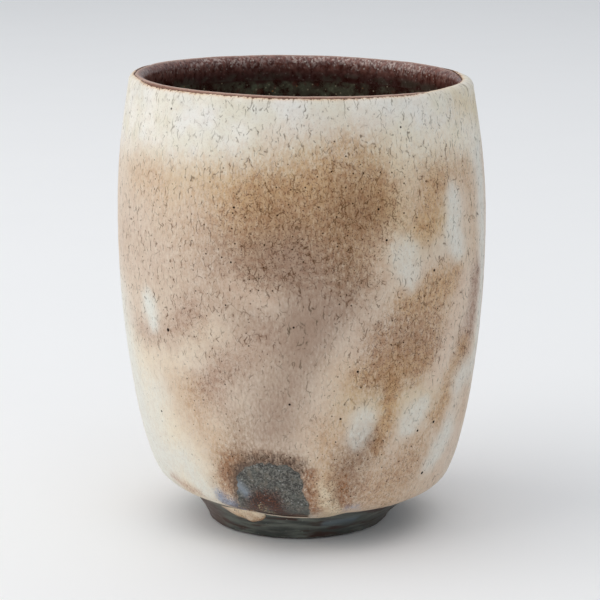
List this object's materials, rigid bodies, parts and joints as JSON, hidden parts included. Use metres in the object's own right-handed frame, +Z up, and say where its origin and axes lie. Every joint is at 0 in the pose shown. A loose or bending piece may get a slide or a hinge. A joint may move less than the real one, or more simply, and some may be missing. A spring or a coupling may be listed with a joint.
{
  "type": "yunomi teacup",
  "caption": "Handleless hand-thrown stoneware teacup with a white slip coat, dark glazed inside, brown lip and a turned foot ring, for holding hot tea.",
  "frame": {"origin": "on the table under the middle of the belly, at the level of the foot's base", "axes": "+Z up to the lip, -Y towards the front with the finger mark, +X to the viewer's right"},
  "size_m": [0.075, 0.075, 0.0926],
  "materials": {
    "stoneware": "unglazed iron-bearing stoneware, matt",
    "foot_clay": "unglazed stoneware, turned and wiped",
    "white_slip": "satin clear glaze over white slip, fine crackle, ochre and beige kiln flashing",
    "inner_glaze": "glossy greenish-black iron glaze",
    "iron_lip": "glossy iron-brown lip, glaze thinned over the edge",
    "finger_mark": "satin blue-grey glaze over bare clay, speckled",
    "foot_glaze": "thin grey-green glaze over dark clay",
    "cream_slip": "thick cream slip under satin glaze"
  },
  "bodies": {
    "root": {"clay_body": "stoneware", "foot_ring": "foot_clay", "white_slip_coat": "white_slip", "inner_glaze": "inner_glaze", "lip_band": "iron_lip", "finger_mark_glaze": "finger_mark", "foot_glaze": "foot_glaze", "slip_run": "cream_slip"}
  },
  "joints": []
}
